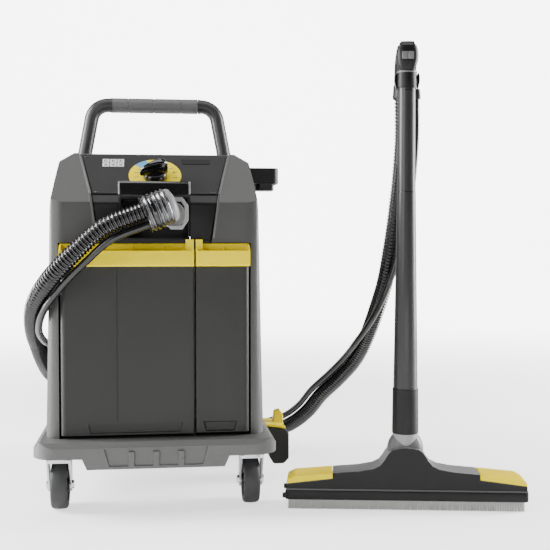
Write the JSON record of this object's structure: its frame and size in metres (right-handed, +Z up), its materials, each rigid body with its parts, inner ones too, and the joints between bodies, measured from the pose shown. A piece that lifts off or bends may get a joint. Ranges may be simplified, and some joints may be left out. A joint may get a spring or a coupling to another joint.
{
  "type": "steam cleaner",
  "caption": "Commercial steam cleaner with suction on four casters, with tank drawers, a twin hose, and a wand with a wide floor head.",
  "frame": {"origin": "on the floor under the middle of the set, the machine and the wand beside it, without the hose", "axes": "+Z up, the machine's front faces -Y, the wand stands on its +X side"},
  "size_m": [1.0618, 0.8087, 0.976],
  "materials": {
    "casing_grey": "satin textured",
    "casing_dark": "satin textured",
    "chassis_grey": "satin textured",
    "yellow_parts": "semi gloss",
    "black_gloss": "gloss",
    "black_matte": "matte",
    "zinc": "bright zinc plating",
    "steel": "brushed",
    "brass": "cast",
    "motor_black": "painted",
    "tank_plastic": "translucent",
    "board_green": "matte",
    "clear_hose": "satin",
    "wheel_rubber": "satin"
  },
  "bodies": {
    "machine": {"chassis": "chassis_grey", "side_shell_left": "casing_grey", "side_shell_right": "casing_grey", "front_console": "casing_dark", "top_cover": "casing_grey", "rear_cover": "casing_dark", "tank_partition": "chassis_grey", "control_panel": "casing_dark", "dial_plate": "yellow_parts", "selector_switch": "chassis_grey", "housing_screws": "zinc", "hose_socket": "black_gloss", "hose_plug": "chassis_grey", "push_handle": "casing_dark", "handle_grip": "chassis_grey", "accessory_hook": "casing_dark", "park_bracket": "casing_dark", "boiler": "steel", "boiler_heater": "steel", "steam_valve": "brass", "water_pump": "black_gloss", "feed_hose": "clear_hose", "vacuum_motor": "motor_black", "motor_filter": "tank_plastic", "circuit_board": "board_green", "cable_gland": "black_gloss", "suction_hose": "black_gloss", "steam_line": "black_gloss"},
    "selector_knob": {"selector_knob": "black_gloss"},
    "socket_flap": {"socket_flap": "black_gloss"},
    "plug_latch": {"plug_latch": "zinc"},
    "park_latch": {"park_latch": "yellow_parts"},
    "vacuum_fan": {"vacuum_fan": "zinc"},
    "waste_drawer": {"waste_tank": "tank_plastic", "waste_tank_lid": "tank_plastic", "waste_tank_front": "casing_dark", "waste_grip": "yellow_parts"},
    "float": {"float_ball": "yellow_parts"},
    "water_drawer": {"water_tank": "tank_plastic", "water_tank_lid": "tank_plastic", "water_tank_front": "casing_dark", "water_grip": "yellow_parts"},
    "wand": {"wand_upper_tube": "casing_dark", "wand_lower_tube": "casing_dark", "wand_cuff": "black_matte", "wand_handle": "black_matte", "nozzle_neck": "chassis_grey"},
    "steam_trigger": {"steam_trigger": "yellow_parts"},
    "floor_head": {"nozzle_body": "black_matte", "brush_strips": "black_matte"},
    "end_catch_left": {"end_catch_left": "yellow_parts"},
    "end_catch_right": {"end_catch_right": "yellow_parts"},
    "caster_front_left": {"caster_fork_front_left": "zinc"},
    "wheel_front_left": {"caster_wheel_front_left": "wheel_rubber"},
    "caster_front_right": {"caster_fork_front_right": "zinc"},
    "wheel_front_right": {"caster_wheel_front_right": "wheel_rubber"},
    "caster_rear_left": {"caster_fork_rear_left": "zinc"},
    "wheel_rear_left": {"caster_wheel_rear_left": "wheel_rubber"},
    "caster_rear_right": {"caster_fork_rear_right": "zinc"},
    "wheel_rear_right": {"caster_wheel_rear_right": "wheel_rubber"}
  },
  "joints": [
    {"name": "selector_turn", "type": "hinge", "parent": "machine", "child": "selector_knob", "pos_m": [-0.26365, -0.18208, 0.695], "axis": [0, -0.6459, 0.7634], "range_deg": [-100, 80]},
    {"name": "socket_flap_hinge", "type": "hinge", "parent": "machine", "child": "socket_flap", "pos_m": [-0.26365, -0.24708, 0.678], "axis": [-1, 0, 0], "range_deg": [0, 25]},
    {"name": "plug_latch_press", "type": "slide", "parent": "machine", "child": "plug_latch", "axis": [0, 0, 1], "range_m": [0, 0.002], "stiffness_N_per_m": 1500, "springref_m": -0.001},
    {"name": "park_latch_hinge", "type": "hinge", "parent": "machine", "child": "park_latch", "pos_m": [-0.00965, 0.02292, 0.131], "axis": [0, -1, 0], "range_deg": [0, 60]},
    {"name": "fan_spin", "type": "hinge", "parent": "machine", "child": "vacuum_fan", "pos_m": [-0.15865, 0.18792, 0.34], "axis": [0, 0, 1], "continuous": true},
    {"name": "waste_drawer_slide", "type": "slide", "parent": "machine", "child": "waste_drawer", "axis": [0, -1, 0], "range_m": [0, 0.3]},
    {"name": "float_rise", "type": "slide", "parent": "waste_drawer", "child": "float", "axis": [0, 0, 1], "range_m": [0, 0.03]},
    {"name": "water_drawer_slide", "type": "slide", "parent": "machine", "child": "water_drawer", "axis": [0, -1, 0], "range_m": [0, 0.3]},
    {"name": "swivel_front_left", "type": "hinge", "parent": "machine", "child": "caster_front_left", "pos_m": [-0.46365, -0.21208, 0.1], "axis": [0, 0, 1], "continuous": true},
    {"name": "roll_front_left", "type": "hinge", "parent": "caster_front_left", "child": "wheel_front_left", "pos_m": [-0.46365, -0.19108, 0.05], "axis": [1, 0, 0], "continuous": true},
    {"name": "swivel_front_right", "type": "hinge", "parent": "machine", "child": "caster_front_right", "pos_m": [-0.06365, -0.21208, 0.1], "axis": [0, 0, 1], "continuous": true},
    {"name": "roll_front_right", "type": "hinge", "parent": "caster_front_right", "child": "wheel_front_right", "pos_m": [-0.06365, -0.19108, 0.05], "axis": [1, 0, 0], "continuous": true},
    {"name": "swivel_rear_left", "type": "hinge", "parent": "machine", "child": "caster_rear_left", "pos_m": [-0.46365, 0.25792, 0.1], "axis": [0, 0, 1], "continuous": true},
    {"name": "roll_rear_left", "type": "hinge", "parent": "caster_rear_left", "child": "wheel_rear_left", "pos_m": [-0.46365, 0.27892, 0.05], "axis": [1, 0, 0], "continuous": true},
    {"name": "swivel_rear_right", "type": "hinge", "parent": "machine", "child": "caster_rear_right", "pos_m": [-0.06365, 0.25792, 0.1], "axis": [0, 0, 1], "continuous": true},
    {"name": "roll_rear_right", "type": "hinge", "parent": "caster_rear_right", "child": "wheel_rear_right", "pos_m": [-0.06365, 0.27892, 0.05], "axis": [1, 0, 0], "continuous": true},
    {"name": "wand_lift", "type": "slide", "parent": "machine", "child": "wand", "axis": [0, 0, 1], "range_m": [0, 0.25], "deforming": ["suction_hose", "steam_line"]},
    {"name": "trigger_pull", "type": "slide", "parent": "wand", "child": "steam_trigger", "axis": [0.1736, 0.9848, 0], "range_m": [0, 0.005], "stiffness_N_per_m": 800, "springref_m": -0.001},
    {"name": "floor_head_tilt", "type": "hinge", "parent": "wand", "child": "floor_head", "pos_m": [0.25835, -0.26208, 0.095], "axis": [0.9848, -0.1736, 0], "range_deg": [0, 60]},
    {"name": "catch_left_slide", "type": "slide", "parent": "floor_head", "child": "end_catch_left", "axis": [-0.9848, 0.1736, 0], "range_m": [0, 0.003]},
    {"name": "catch_right_slide", "type": "slide", "parent": "floor_head", "child": "end_catch_right", "axis": [0.9848, -0.1736, 0], "range_m": [0, 0.003]}
  ]
}
